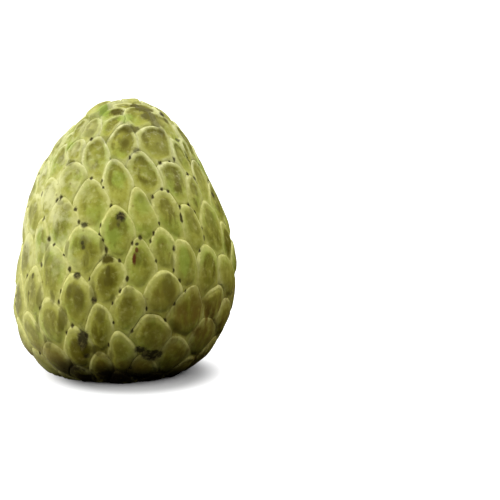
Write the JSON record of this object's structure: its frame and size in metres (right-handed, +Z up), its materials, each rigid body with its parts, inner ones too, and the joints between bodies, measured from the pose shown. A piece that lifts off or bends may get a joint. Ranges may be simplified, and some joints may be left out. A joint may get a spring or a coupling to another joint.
{
  "type": "custard apple",
  "caption": "Whole custard apple with a green skin of overlapping scales, standing on its broad stem end, with a short cut stem in the hollow underneath",
  "frame": {"origin": "middle of the fruit's bounding box, on the surface that it stands on", "axes": "+Z up through the blossom tip, -Y out of the side that the picture shows"},
  "size_m": [0.098, 0.0976, 0.1197],
  "materials": {
    "skin": "satin yellow-green fruit skin with pale scale rims",
    "stem_wood": "dry brown stem bark with a cut end"
  },
  "bodies": {
    "root": {"fruit": "skin", "stem_stub": "stem_wood"}
  },
  "joints": []
}
